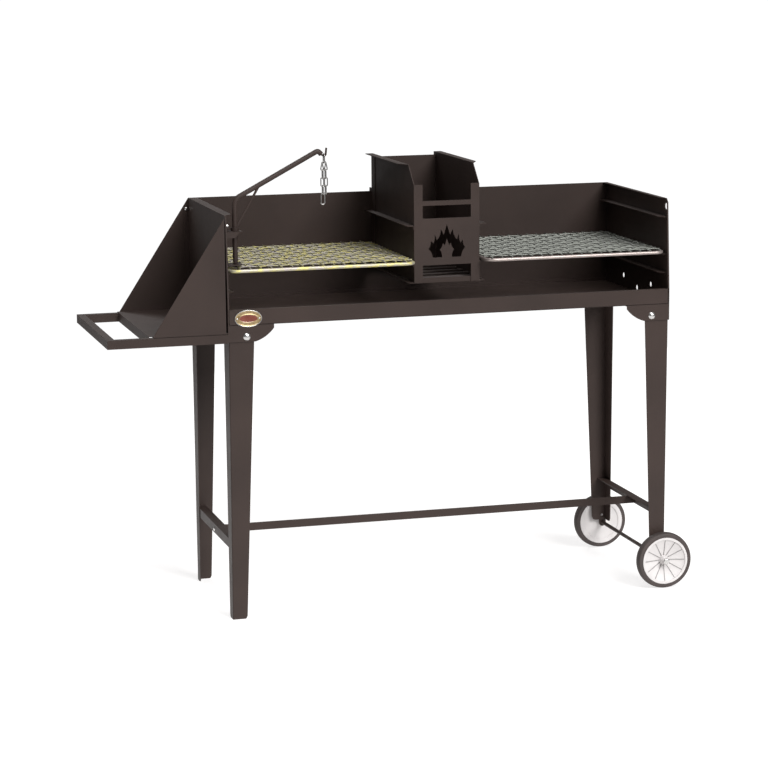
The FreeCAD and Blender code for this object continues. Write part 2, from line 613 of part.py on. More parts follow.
def basket_hanger():
    """Strip up the rear edge of the left side panel, with a hook that lies over the back wall."""
    x0, x1 = BASKET_L - SHEET, BASKET_L
    strip = box(x0, x1, BASKET_REAR - HANGER_W, BASKET_REAR, BASKET_FOOT + SHEET, BASKET_TOP - SHEET)
    hook = plate_yz([(BASKET_REAR - 1.0, WALL_TOP), (BASKET_REAR - 1.0, 1045.0), (HALF_D + 2.0, 1045.0),
                     (HALF_D + 4.0, 1043.0), (HALF_D + 4.0, 1024.0), (HALF_D + 0.5, 1024.0),
                     (HALF_D + 0.5, WALL_TOP)], x0, x1)
    return fuse(strip, hook)


def basket_hangers():
    return group(basket_hanger(), mirror_basket(basket_hanger()))


def basket_right_side():
    """Right side panel: the left one mirrored across the basket's middle."""
    return mirror_basket(basket_side())


def basket_back():
    in0, in1 = BASKET_L + SHEET, BASKET_R - SHEET
    return box(in0, in1, BASKET_BACK_Y, BASKET_BACK_Y + SHEET, BASKET_FOOT + 3.0, 1131.0)


def basket_ledges_left():
    """Two ledges, each notched round the hanger strip."""
    y0, y1 = FRONT_Y + SHEET, BASKET_REAR
    strip = box(BASKET_L - SHEET, BASKET_L, y1 - HANGER_W, y1, BASKET_FOOT, BASKET_TOP)
    return group(*[ledge(top, BASKET_L, BASKET_LEDGE_W, y0, y1, -1, 3.0).cut(strip)
                   for top in BASKET_LEDGES])


def basket_ledges_right():
    return mirror_basket(basket_ledges_left())


def ember_bars():
    """Round bars across the basket's foot that hold up the burning wood."""
    in0, in1 = BASKET_L + SHEET, BASKET_R - SHEET
    count = 7
    step = (BASKET_BACK_Y - 20.0 - (FRONT_Y + 34.0)) / (count - 1)
    ys = [FRONT_Y + 34.0 + step * k for k in range(count)]
    return group(*[rod(vec(in0, y, 847.0), vec(in1, y, 847.0), 4.0) for y in ys])


# ---- cooking grates -----------------------------------------------------------------------------
def grate_frame(span):
    """Rounded rectangle of round rod resting on the middle ledges."""
    r = GRATE_ROD / 2.0
    x0, x1 = span[0] + r, span[1] - r
    y0, y1 = GRATE_FRONT + r, GRATE_BACK - r
    z = LEDGE_TOPS[1] + r + 0.2
    middle = (x0 + x1) / 2.0
    points = [vec(middle, y0, z), vec(x1, y0, z), vec(x1, y1, z), vec(x0, y1, z), vec(x0, y0, z),
              vec(middle, y0, z)]
    return swept_rod(rounded_run(points, [GRATE_CORNER_R] * 4), r)


def wire_places(low, high, pitch):
    """Evenly spaced places between two ends, centred, at a given pitch."""
    count = int((high - low) // pitch) + 1
    start = (low + high - (count - 1) * pitch) / 2.0
    return [start + pitch * k for k in range(count)]


def grate_long_wires(span):
    """Front-to-back wires lying on top of the frame rod."""
    r = WIRE / 2.0
    z = LEDGE_TOPS[1] + GRATE_ROD + 0.2 + r
    xs = wire_places(span[0] + 16.0, span[1] - 16.0, WIRE_PITCH)
    return group(*[rod(vec(x, GRATE_FRONT + 2.0, z), vec(x, GRATE_BACK - 2.0, z), r) for x in xs])


def grate_cross_wires(span):
    """Side-to-side wires just under the long ones, between the frame's two side rods."""
    r = WIRE / 2.0
    z = LEDGE_TOPS[1] + GRATE_ROD + 0.2 - r
    ys = wire_places(GRATE_FRONT + 22.0, GRATE_BACK - 22.0, WIRE_PITCH)
    inset = GRATE_ROD + 0.7
    return group(*[rod(vec(span[0] + inset, y, z), vec(span[1] - inset, y, z), r) for y in ys])


# ---- pot arm and chain --------------------------------------------------------------------------
HOOK_X = ARM_TOP_X + 14.0
HOOK_Z = ARM_TOP_Z - 8.0


def arm_bracket(z, y0):
    """Angle bracket on the left wall: a flat plate, and a tab up the wall at its front end."""
    x0, x1 = -HALF_W + SHEET, -HALF_W + BRACKET_REACH
    y1 = POST_Y + 22.0
    plate = plate_xy([(x0, y0), (x1 - 8.0, y0), (x1, y0 + 8.0), (x1, y1), (x0, y1)], z - BRACKET_T, z)
    tab = box(x0, x0 + BRACKET_T, y0, y0 + 16.0, z, z + 25.0)
    return fuse(plate, tab)


def arm_upper_bracket():
    """Bolted bracket with the running hole, its front edge folded down to stiffen it."""
    y0 = BRACKET_BOLT.y - 8.0
    web = plate_xz([(-HALF_W + SHEET, BRACKET_Z), (-HALF_W + SHEET, BRACKET_Z - 15.0),
                    (-HALF_W + 26.0, BRACKET_Z - 15.0), (-HALF_W + 36.0, BRACKET_Z - 3.0),
                    (-HALF_W + 36.0, BRACKET_Z)], y0, y0 + BRACKET_T)
    body = fuse(arm_bracket(BRACKET_Z, y0), web)
    body = body.cut(rod(BRACKET_BOLT, BRACKET_BOLT + vec(20, 0, 0), WALL_BOLT_R + CLEAR))
    hole = rod(vec(POST_X, POST_Y, BRACKET_Z - 20), vec(POST_X, POST_Y, BRACKET_Z + 5),
               POST_D / 2.0 + RUN_GAP)
    return body.cut(hole)


def arm_lower_bracket():
    """Foot plate with a round pin that the hollow foot of the post turns on."""
    pin = rod(vec(POST_X, POST_Y, FOOT_PLATE_Z - 1.0), vec(POST_X, POST_Y, FOOT_PLATE_Z + 14.0), 3.0)
    return fuse(arm_bracket(FOOT_PLATE_Z, POST_Y - 22.0), pin)


def pot_arm():
    """Post and rising arm bent from one round bar."""
    foot = vec(POST_X, POST_Y, POST_FOOT)
    corner = vec(POST_X, POST_Y, ARM_BEND_Z)
    peak = vec(ARM_TOP_X, POST_Y, ARM_TOP_Z)
    tip = vec(ARM_TOP_X + 9.0, POST_Y, ARM_TOP_Z - 8.5)
    body = swept_rod(rounded_run([foot, corner, peak, tip], [ARM_BEND_R, 7.0]), POST_D / 2.0)
    socket = rod(foot, foot + vec(0, 0, 20.0), 3.0 + RUN_GAP)
    return body.cut(socket)


def arm_hook():
    """Thin upturned hook on the arm's tip that the chain hangs in."""
    start = vec(ARM_TOP_X + 6.0, POST_Y, HOOK_Z + 1.0)
    low = vec(HOOK_X - 1.0, POST_Y, HOOK_Z - 4.0)
    flat = vec(HOOK_X + 6.5, POST_Y, HOOK_Z - 4.0)
    end = vec(HOOK_X + 8.5, POST_Y, HOOK_Z + 15.0)
    body = swept_rod(rounded_run([start, low, flat, end], [3.0, 3.0]), HOOK_D / 2.0)
    return body.cut(pot_arm())


def arm_brace():
    """Thin stay from the post's collar up to the arm."""
    low = vec(POST_X + 4.0, POST_Y, 1003.0)
    high = vec(POST_X + 64.0, POST_Y, 1104.0)
    return rod(low, high, 3.0).cut(pot_arm()).cut(arm_collar())


def arm_collar():
    """Ring fixed round the post, resting on the upper bracket."""
    low, high = BRACKET_Z + 0.4, BRACKET_Z + 8.0
    return tube(vec(POST_X, POST_Y, low), vec(POST_X, POST_Y, high), 10.5, POST_D / 2.0)


def chain_link(top, inside, across, width, tilt=0.0):
    """Oval link hanging from the centre of its top wire; across is 'x' or 'y', its wide way."""
    half_w = width / 2.0
    straight = inside + LINK_WIRE - width
    z_top = top.z - half_w
    z_low = z_top - straight
    side = vec(1, 0, 0) if across == "x" else vec(0, 1, 0)
    up = vec(0, 0, 1)
    a = vec(top.x, top.y, z_top)
    b = vec(top.x, top.y, z_low)
    edges = [Part.Arc(a - side * half_w, a + up * half_w, a + side * half_w).toShape(),
             Part.makeLine(a + side * half_w, b + side * half_w),
             Part.Arc(b + side * half_w, b - up * half_w, b - side * half_w).toShape(),
             Part.makeLine(b - side * half_w, a - side * half_w)]
    path = Part.Wire(edges)
    profile = Part.Wire(Part.makeCircle(LINK_WIRE / 2.0, a - side * half_w, up))
    link = path.makePipeShell([profile], True, False)
    if tilt:
        link.rotate(top, vec(0, 1, 0), tilt)
    return link


HOOK_LOW_Z = HOOK_Z - 4.0
TOP_LINK = vec(HOOK_X + 2.0, POST_Y, HOOK_LOW_Z + HOOK_D / 2.0 + LINK_WIRE / 2.0 + LINK_GAP)
PITCH = LINK_IN - LINK_GAP
STRAND_DROP = LINK_IN - 1.0
STRAND_Y = LINK_WIRE / 2.0 + 0.25


def chain_top_link():
    return chain_link(TOP_LINK, LINK_IN, "y", TOP_LINK_W)


def strand(side, count, last_inside):
    """Links hanging one from another; the first leans out so that the two strands part."""
    top = TOP_LINK + vec(0, side * STRAND_Y, -STRAND_DROP)
    lean = 12.0
    links = [chain_link(top, LINK_IN, "x", LINK_W, -side * lean)]
    turn = math.radians(lean)
    top = top + vec(side * PITCH * math.sin(turn), 0, -PITCH * math.cos(turn))
    for k in range(1, count):
        inside = last_inside if k == count - 1 else LINK_IN
        links.append(chain_link(top, inside, "x" if k % 2 == 0 else "y", LINK_W))
        top = top - vec(0, 0, PITCH)
    return group(*links)


def chain_long_strand():
    return strand(-1, 5, LONG_LINK_IN)


def chain_short_strand():
    return strand(1, 4, LINK_IN)


# ---- badge --------------------------------------------------------------------------------------
def ellipse_plate(a, b, y0, y1):
    curve = Part.Ellipse(vec(BADGE_X, y0, BADGE_Z), a, b).toShape()
    curve.rotate(vec(BADGE_X, y0, BADGE_Z), vec(1, 0, 0), 90)
    return Part.Face(Part.Wire(curve)).extrude(vec(0, y1 - y0, 0))


RIVET_X = 28.5


def badge_plate():
    """Plain oval plate with a raised rim."""
    plate = ellipse_plate(BADGE_A, BADGE_B, -HALF_D - 1.6, -HALF_D)
    hollow = ellipse_plate(BADGE_A - 2.6, BADGE_B - 2.6, -HALF_D - 2.0, -HALF_D - 1.0)
    plate = plate.cut(hollow)
    for side in (-1, 1):
        spot = vec(BADGE_X + side * RIVET_X, -HALF_D - 5, BADGE_Z)
        plate = plate.cut(rod(spot, spot + vec(0, 10, 0), 1.6))
    return plate


def badge_rivets():
    rivets = []
    for side in (-1, 1):
        spot = vec(BADGE_X + side * RIVET_X, -HALF_D - 1.0, BADGE_Z)
        dome = Part.makeSphere(3.0, spot + vec(0, 1.6, 0)).common(
            Part.makeCylinder(2.7, 3.0, spot, vec(0, -1, 0)))
        shank = Part.makeCylinder(1.5, 1.0, spot, vec(0, 1, 0))
        rivets.append(fuse(dome, shank))
    return group(*rivets)


# ---- write the parts ----------------------------------------------------------------------------
def mirrored_corners(shape):
    """Front left piece repeated at the four corners, by name."""
    return {"fl": shape, "fr": mirror_x(shape), "rl": mirror_y(shape), "rr": mirror_x(mirror_y(shape))}


def build():
    parts = {
        "left_wall": left_wall(), "right_wall": right_wall(), "back_wall": back_wall(),
        "firebox_floor": firebox_floor(), "front_apron": front_apron(),
        "ledges_left": ledges_left(), "ledges_right": ledges_right(),
        "gusset_bolts": gusset_bolts(), "stretcher_bolts": stretcher_bolts(),
        "crossbar_left": crossbar(), "crossbar_right": mirror_x(crossbar()), "stretcher": stretcher(),
        "axle": axle(), "axle_caps": axle_caps(),
        "wheel_front_disc": wheel_disc(), "wheel_front_tyre": tyre(),
        "wheel_rear_disc": mirror_y(wheel_disc()), "wheel_rear_tyre": mirror_y(tyre()),
        "shelf_front_plate": shelf_front_plate(), "shelf_rear_plate": shelf_rear_plate(),
        "shelf_floor": shelf_floor(), "shelf_bolts": shelf_bolts(),
        "handle_front_tube": handle_front_tube(), "handle_rear_tube": handle_rear_tube(),
        "handle_grip_tube": handle_grip_tube(),
        "basket_front": basket_front(), "basket_sill": basket_sill(),
        "basket_left_side": basket_side(), "basket_right_side": basket_right_side(),
        "basket_hangers": basket_hangers(),
        "basket_back": basket_back(), "basket_ledges_left": basket_ledges_left(),
        "basket_ledges_right": basket_ledges_right(), "ember_bars": ember_bars(),
        "grate_left_frame": grate_frame(LEFT_GRATE), "grate_left_wires": grate_long_wires(LEFT_GRATE),
        "grate_left_cross_wires": grate_cross_wires(LEFT_GRATE),
        "grate_right_frame": grate_frame(RIGHT_GRATE), "grate_right_wires": grate_long_wires(RIGHT_GRATE),
        "grate_right_cross_wires": grate_cross_wires(RIGHT_GRATE),
        "arm_upper_bracket": arm_upper_bracket(), "arm_lower_bracket": arm_lower_bracket(),
        "pot_arm": pot_arm(), "arm_hook": arm_hook(), "arm_brace": arm_brace(), "arm_collar": arm_collar(),
        "chain_top_link": chain_top_link(), "chain_long_strand": chain_long_strand(),
        "chain_short_strand": chain_short_strand(),
        "badge_plate": badge_plate(), "badge_rivets": badge_rivets(),
    }
    for corner, shape in mirrored_corners(gusset()).items():
        parts["gusset_" + corner] = shape
    plain = mirrored_corners(drilled_leg(leg(-FOOT_TRIM, False), False))
    wheeled = mirrored_corners(drilled_leg(leg(WHEEL_LEG_FOOT, True), True))
    for corner in ("fl", "rl"):
        parts["leg_" + corner] = plain[corner]
    for corner in ("fr", "rr"):
        parts["leg_" + corner] = wheeled[corner]
    return parts


def middle_of_length():
    """X of the middle of the overall length, from the push handle's grip to the wheels' front."""
    return (AXLE_X + WHEEL_R - HALF_W - HANDLE_OUT) / 2.0


os.makedirs("parts", exist_ok=True)
for name, shape in build().items():
    shape = shape.translated(vec(-middle_of_length(), 0, 0))
    shape.exportStep("parts/" + name + ".step")
    solids = len(shape.Solids)
    print("%-26s solids %2d  volume %9.0f  valid %s" % (name, solids, shape.Volume, shape.isValid()))
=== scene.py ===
import json
import math

import bmesh
import bpy
from bpy.props import FloatProperty, FloatVectorProperty, IntProperty, PointerProperty
from mathutils import Euler, Matrix, Vector


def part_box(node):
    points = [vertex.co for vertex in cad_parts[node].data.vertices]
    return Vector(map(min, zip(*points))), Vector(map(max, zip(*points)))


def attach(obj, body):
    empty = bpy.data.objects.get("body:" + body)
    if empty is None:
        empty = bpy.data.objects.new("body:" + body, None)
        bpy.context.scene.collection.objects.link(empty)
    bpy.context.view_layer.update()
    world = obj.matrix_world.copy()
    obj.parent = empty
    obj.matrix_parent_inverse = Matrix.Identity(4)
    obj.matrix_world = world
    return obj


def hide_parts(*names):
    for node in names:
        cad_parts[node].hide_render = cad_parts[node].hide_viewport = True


bl_info = {
    "name": "Barbecue cart",
    "version": (1, 0, 0),
    "blender": (4, 5, 0),
    "location": "3D View > Sidebar > Barbecue",
    "description": "Finishes a charcoal barbecue cart: enamel, woven grates, wheels, badge and stage",
    "category": "Object",
}

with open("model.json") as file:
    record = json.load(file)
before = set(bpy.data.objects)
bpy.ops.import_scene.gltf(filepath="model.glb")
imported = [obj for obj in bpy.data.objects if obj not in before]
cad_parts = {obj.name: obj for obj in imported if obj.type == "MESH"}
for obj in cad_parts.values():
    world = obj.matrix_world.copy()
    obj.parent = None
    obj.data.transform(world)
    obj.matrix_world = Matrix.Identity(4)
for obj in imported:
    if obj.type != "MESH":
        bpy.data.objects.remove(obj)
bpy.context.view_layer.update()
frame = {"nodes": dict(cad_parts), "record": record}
MM = 0.001                      # the script's lengths are metres

# CAD nodes by finish
ENAMELLED = [
    "left_wall", "right_wall", "back_wall", "firebox_floor", "front_apron",
    "ledges_left", "ledges_right", "gusset_fl", "gusset_fr", "gusset_rl", "gusset_rr",
    "leg_fl", "leg_fr", "leg_rl", "leg_rr", "crossbar_left", "crossbar_right", "stretcher",
    "shelf_front_plate", "shelf_rear_plate", "shelf_floor",
    "handle_front_tube", "handle_rear_tube", "handle_grip_tube",
    "basket_front", "basket_sill", "basket_left_side", "basket_right_side", "basket_back",
    "basket_hangers", "basket_ledges_left", "basket_ledges_right",
    "arm_upper_bracket", "arm_lower_bracket",
]
ROUND_BARS = ["axle", "ember_bars", "pot_arm", "arm_hook", "arm_brace", "arm_collar"]
FASTENERS = ["gusset_bolts", "stretcher_bolts", "shelf_bolts", "axle_caps"]
CHAIN = ["chain_top_link", "chain_long_strand", "chain_short_strand"]

# shading: edges sharper than this many degrees stay sharp
CAD_SHARP = 32.0
TURNED_SHARP = 28.0

# woven mesh
LONG_SHARE = 0.65               # share of the crimp that the wires from front to back take
CROSS_SHARE = 0.35              # share that the wires across take, the other way
FIRST_CROSS = 1.15              # pitches from the front rod to the first wire across
WIRE_SAMPLES = 112              # points along one wire
WIRE_SIDES = 7

# wheel; depths run into the wheel from the tyre's outer side
TURNED_SEGMENTS = 96
SEAT_INSET = 6 * MM             # from the disc's outer radius in to the tyre's seat
SHOULDER_DROP = 2 * MM          # fall of the tread towards each side
SHOULDER_WIDTH = 9 * MM
TYRE_ROUNDING = 6 * MM
DISC_ROUNDING = 0.6 * MM
LIP = 1 * MM                    # how far the disc's rim stands proud of the tyre's side
BORE_RADIUS = 5.1 * MM
HUB_PROUD = 4 * MM
HUB_RADIUS = 9 * MM             # of the outer hub; the dish starts at its foot
DISH_START_RADIUS = 12.5 * MM
DISH_START_DEPTH = 13 * MM
DISH_END_DEPTH = 1.5 * MM
INNER_RIM_RADIUS = 51 * MM
INNER_WEB_RADIUS = 50 * MM
INNER_HUB_RADIUS = 13 * MM
RIB_START_RADIUS = 12 * MM
RIB_END_GAP = 0.8 * MM          # from a rib's outer end to the tyre's inner radius
RIB_HEIGHT = 2 * MM
RIB_DEPTH = 7.2 * MM            # of a rib's middle, so that half of it is proud of the dish

# badge: each ring's share of the half height, its share of the thickness, and the number of the
# finish (silver rim, gold field, enamel middle) of the band that it starts
BADGE_SEGMENTS = 72
BADGE_RINGS = [
    (1.0, 0.0, 0), (1.0, 0.75, 0), (0.985, 0.97, 0), (0.955, 1.0, 0), (0.93, 0.9, 0),
    (0.915, 0.5, 1), (0.5, 0.62, 1), (0.485, 0.85, 1), (0.455, 0.85, 1),
    (0.44, 0.6, 2), (0.3, 0.66, 2), (0.12, 0.72, 2),
]

# stage
FLOOR_REACH = 3.4
BACKDROP = 1.05                 # strength of the surround where the camera sees it
SOFTBOXES = {                   # spread in degrees, and the direction that the light comes from
    "key": (30.0, (0.3, -0.76, 0.6)),
    "overhead": (40.0, (-0.12, -0.4, 1.0)),
    "rear": (30.0, (-0.1, 0.75, 0.8)),
}
CAMERA_PLACE = (-1.8565, -6.573, 1.7715)
CAMERA_YAW, CAMERA_PITCH, CAMERA_ROLL = 15.77, 10.16, 0.46      # degrees
LENS_LENGTH, SENSOR_WIDTH = 123.15, 36.0                        # millimetres


# ---- colours and nodes ----------------------------------------------------------------------
def linear(code):
    """Linear RGBA of an sRGB hex colour such as "#3A2F2C"."""
    parts = [int(code[i:i + 2], 16) / 255.0 for i in (1, 3, 5)]
    curve = [c / 12.92 if c <= 0.04045 else ((c + 0.055) / 1.055) ** 2.4 for c in parts]
    return tuple(curve + [1.0])


def toned(colour, share):
    """A colour made darker or lighter by a share, and opaque."""
    return tuple(c * share for c in colour[:3]) + (1.0,)


def per_metre(size):
    """Scale of a pattern whose marks are a size in millimetres apart."""
    return 1000.0 / size


def add(tree, kind, inputs=None, stops=(), **settings):
    """Adds one node: its settings, its inputs and a colour ramp's (position, colour) stops. An
    input is a value, an output to link, or a node whose first output is linked."""
    node = tree.nodes.new(kind)
    for name, value in settings.items():
        setattr(node, name, value)
    for name, value in (inputs or {}).items():
        if isinstance(value, bpy.types.Node):
            value = value.outputs[0]
        if isinstance(value, bpy.types.NodeSocket):
            tree.links.new(value, node.inputs[name])
        else:
            node.inputs[name].default_value = value
    for index, (position, colour) in enumerate(stops):
        marks = node.color_ramp.elements
        mark = marks[index] if index < len(marks) else marks.new(position)
        mark.position = position
        mark.color = colour
    return node


def new_material(name):
    """Empty node material; gives the material, its tree and the object's own coordinates."""
    material = bpy.data.materials.new(name)
    material.use_nodes = True
    tree = material.node_tree
    tree.nodes.clear()
    return material, tree, add(tree, "ShaderNodeTexCoord").outputs["Object"]


def close_material(tree, inputs):
    """Ends a material: the Principled shader with its inputs, and the output."""
    shader = add(tree, "ShaderNodeBsdfPrincipled", inputs)
    add(tree, "ShaderNodeOutputMaterial", {"Surface": shader})


# ---- finishes -------------------------------------------------------------------------------
def baked_enamel(look):
    """Heat-resistant paint sprayed on sheet steel and baked: a near-black brown with a satin sheen,
    a faint orange-peel texture, and slow cloudy changes of tone."""
    material, tree, place = new_material("baked_heat_resistant_enamel")
    # clouds of tone about 200 mm across
    cloud = add(tree, "ShaderNodeTexNoise", {
        "Vector": place, "Scale": per_metre(200.0), "Detail": 3.0, "Roughness": 0.55})
    tone = add(tree, "ShaderNodeValToRGB", {"Fac": cloud}, stops=[
        (0.3, toned(look.enamel_colour, 0.86)), (0.7, toned(look.enamel_colour, 1.14))])
    # dry overspray: patches a few centimetres across that are a little duller
    patch = add(tree, "ShaderNodeTexNoise", {
        "Vector": place, "Scale": per_metre(45.5), "Detail": 4.0, "Roughness": 0.6})
    rough = look.enamel_roughness
    gloss = add(tree, "ShaderNodeMapRange", {
        "Value": patch, "To Min": rough - 0.07, "To Max": rough + 0.07})
    # sprayed paint's orange peel is about 1 mm; drawn at 2 mm so that it shows
    peel = add(tree, "ShaderNodeTexNoise", {
        "Vector": place, "Scale": per_metre(2.08), "Detail": 2.0, "Roughness": 0.5})
    bump = add(tree, "ShaderNodeBump", {"Height": peel, "Distance": 0.1 * MM, "Strength": 0.25})
    close_material(tree, {"Base Color": tone, "Roughness": gloss, "Normal": bump, "IOR": 1.5,
                          "Specular IOR Level": 0.3})
    return material


def bright_zinc(name, colour, rough, metallic=1.0):
    """Electroplated zinc, chromated clear: a cool bright metal with a soft blur and small duller
    spots. Dulled wire reads less metallic."""
    material, tree, place = new_material(name)
    # plating grain is far finer; drawn as spots of about 4 mm so that it shows
    spangle = add(tree, "ShaderNodeTexNoise", {
        "Vector": place, "Scale": per_metre(3.85), "Detail": 3.0, "Roughness": 0.6})
    tone = add(tree, "ShaderNodeValToRGB", {"Fac": spangle}, stops=[
        (0.35, toned(colour, 0.78)), (0.65, colour)])
    gloss = add(tree, "ShaderNodeMapRange", {
        "Value": spangle, "To Min": rough - 0.06, "To Max": rough + 0.08})
    bump = add(tree, "ShaderNodeBump", {"Height": spangle, "Distance": 0.08 * MM, "Strength": 0.3})
    close_material(tree, {"Base Color": tone, "Roughness": gloss, "Normal": bump,
                          "Metallic": metallic})
    return material


def yellow_zinc(look, name, lift):
    """Zinc plate with a yellow passivate: a metal whose thin film runs from straw to grey-green in
    patches left by the bath. A lift above one gives a lighter copy, painted light on the rods."""
    material, tree, place = new_material(name)
    # the film's patches are about 17 mm across
    film = add(tree, "ShaderNodeTexNoise", {
        "Vector": place, "Scale": per_metre(16.7), "Detail": 4.0, "Roughness": 0.65})
    tone = add(tree, "ShaderNodeValToRGB", {"Fac": film}, stops=[
        (0.38, toned(linear("#8B8581"), lift)), (0.5, toned(look.grate_yellow, lift)),
        (0.6, toned(linear("#A39A5C"), lift)), (0.7, toned(linear("#968C85"), lift))])
    # plating grain, drawn at about 3 mm so that it shows
    grain = add(tree, "ShaderNodeTexNoise", {
        "Vector": place, "Scale": per_metre(3.33), "Detail": 2.0})
    gloss = add(tree, "ShaderNodeMapRange", {"Value": grain, "To Min": 0.46, "To Max": 0.58})
    bump = add(tree, "ShaderNodeBump", {"Height": grain, "Distance": 0.08 * MM, "Strength": 0.3})
    close_material(tree, {"Base Color": tone, "Roughness": gloss, "Normal": bump, "Metallic": 0.6})
    return material


def wheel_polypropylene(look, name, depth):
    """Injection-moulded polypropylene: a cool white with a low waxy sheen and a fine spark-eroded
    grain. A lower depth of tone gives a darker copy, painted shade for the ribs' shadow lines."""
    material, tree, place = new_material(name)
    # flow marks about 25 mm across
    flow = add(tree, "ShaderNodeTexNoise", {
        "Vector": place, "Scale": per_metre(25.0), "Detail": 3.0})
    base = toned(look.wheel_colour, depth)
    tone = add(tree, "ShaderNodeValToRGB", {"Fac": flow}, stops=[
        (0.35, toned(base, 0.93)), (0.65, base)])
    # spark-eroded grain is about 0.3 mm; drawn at about 1 mm so that it shows
    grain = add(tree, "ShaderNodeTexNoise", {
        "Vector": place, "Scale": per_metre(1.11), "Detail": 1.0})
    gloss = add(tree, "ShaderNodeMapRange", {"Value": grain, "To Min": 0.4, "To Max": 0.52})
    bump = add(tree, "ShaderNodeBump", {"Height": grain, "Distance": 0.05 * MM, "Strength": 0.2})
    close_material(tree, {"Base Color": tone, "Roughness": gloss, "Normal": bump, "IOR": 1.49})
    return material


def tyre_rubber(look):
    """Moulded solid rubber: a dusty brown-black with almost no gloss and a pebbled skin."""
    material, tree, place = new_material("moulded_solid_rubber")
    # dust lies in patches about 33 mm across
    dust = add(tree, "ShaderNodeTexNoise", {
        "Vector": place, "Scale": per_metre(33.3), "Detail": 5.0, "Roughness": 0.7})
    tone = add(tree, "ShaderNodeValToRGB", {"Fac": dust}, stops=[
        (0.4, look.tyre_colour), (0.75, toned(look.tyre_colour, 1.5))])
    gloss = add(tree, "ShaderNodeMapRange", {"Value": dust, "To Min": 0.62, "To Max": 0.8})
    # pebbled skin, about 1.4 mm
    pebble = add(tree, "ShaderNodeTexNoise", {
        "Vector": place, "Scale": per_metre(1.43), "Detail": 2.0})
    bump = add(tree, "ShaderNodeBump", {"Height": pebble, "Distance": 0.1 * MM, "Strength": 0.4})
    close_material(tree, {"Base Color": tone, "Roughness": gloss, "Normal": bump, "IOR": 1.52})
    return material


def gilt_lacquer():
    """Gold lacquer over pressed brass sheet: warm, half gloss, with fine pressing marks."""
    material, tree, place = new_material("gold_lacquered_brass")
    # pressing marks about 5.6 mm apart
    mark = add(tree, "ShaderNodeTexNoise", {
        "Vector": place, "Scale": per_metre(5.56), "Detail": 3.0})
    tone = add(tree, "ShaderNodeValToRGB", {"Fac": mark}, stops=[
        (0.35, linear("#8A7452")), (0.65, linear("#AD9870"))])
    gloss = add(tree, "ShaderNodeMapRange", {"Value": mark, "To Min": 0.3, "To Max": 0.42})
    bump = add(tree, "ShaderNodeBump", {"Height": mark, "Distance": 0.1 * MM, "Strength": 0.3})
    close_material(tree, {"Base Color": tone, "Roughness": gloss, "Normal": bump, "Metallic": 0.5})
    return material


def badge_enamel():
    """Vitreous enamel fired into the badge's middle: a glossy dull red-brown, uneven in depth."""
    material, tree, place = new_material("vitreous_badge_enamel")
    # the enamel pools over about 20 mm
    pool = add(tree, "ShaderNodeTexNoise", {
        "Vector": place, "Scale": per_metre(20.0), "Detail": 1.0})
    tone = add(tree, "ShaderNodeValToRGB", {"Fac": pool}, stops=[
        (0.3, linear("#6E3A30")), (0.7, linear("#7F473B"))])
    gloss = add(tree, "ShaderNodeMapRange", {"Value": pool, "To Min": 0.15, "To Max": 0.25})
    close_material(tree, {"Base Color": tone, "Roughness": gloss, "IOR": 1.55})
    return material


def studio_paper(stage):
    """Matt translucent paper that glows from below: pale, with a faint mottle and weak shadows."""
    material, tree, place = new_material("matt_studio_paper")
    # a mottle about a third of a metre across
    mottle = add(tree, "ShaderNodeTexNoise", {
        "Vector": place, "Scale": per_metre(333.0), "Detail": 2.0})
    tone = add(tree, "ShaderNodeValToRGB", {"Fac": mottle}, stops=[
        (0.3, toned(stage.floor_colour, 0.985)), (0.7, stage.floor_colour)])
    close_material(tree, {"Base Color": tone, "Roughness": 0.9,
                          "Emission Color": linear("#FFFEFE"), "Emission Strength": stage.glow})
    return material


# ---- meshes ---------------------------------------------------------------------------------
def new_object(name, data):
    """New object in the scene, at the origin."""
    thing = bpy.data.objects.new(name, data)
    bpy.context.scene.collection.objects.link(thing)
    return thing


def body_of_node(node):
    """Name of the body that a CAD node belongs to."""
    bodies = frame["record"]["behaviour"]["bodies"]
    return next(name for name, members in bodies.items() if node in members)


def finish_node(node, material):
    """Gives a CAD node one material in all its slots."""
    piece = frame["nodes"][node]
    if not piece.data.materials:
        piece.data.materials.append(material)
    for index in range(len(piece.data.materials)):
        piece.data.materials[index] = material


def new_piece(name, mesh, body, materials):
    """Makes a mesh a finished piece that rides a body."""
    piece = new_object(name, mesh)
    for material in materials:
        mesh.materials.append(material)
    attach(piece, body)
    return piece


def shade_smooth(shape, degrees):
    """Shades a shape smooth, but for its edges that are sharper than an angle."""
    limit = math.radians(degrees)
    for face in shape.faces:
        face.smooth = True
    for edge in shape.edges:
        edge.smooth = len(edge.link_faces) == 2 and edge.calc_face_angle(0.0) < limit


def merged_copy(node):
    """Copy of a CAD node's mesh, joined up, with round faces smooth and real edges sharp."""
    mesh = frame["nodes"][node].data.copy()
    mesh.materials.clear()
    shape = bmesh.new()
    shape.from_mesh(mesh)
    bmesh.ops.remove_doubles(shape, verts=shape.verts, dist=1e-6)
    bmesh.ops.dissolve_degenerate(shape, edges=shape.edges, dist=1e-7)
    shade_smooth(shape, CAD_SHARP)
    shape.to_mesh(mesh)
    shape.free()
    for name in [a.name for a in mesh.attributes if a.name.startswith("custom_normal")]:
        mesh.attributes.remove(mesh.attributes[name])
    return mesh


def smooth_piece(node, material):
    """Stands a smoothly shaded copy in for a round CAD node."""
    piece = new_piece(node + "_smooth", merged_copy(node), body_of_node(node), [material])
    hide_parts(node)


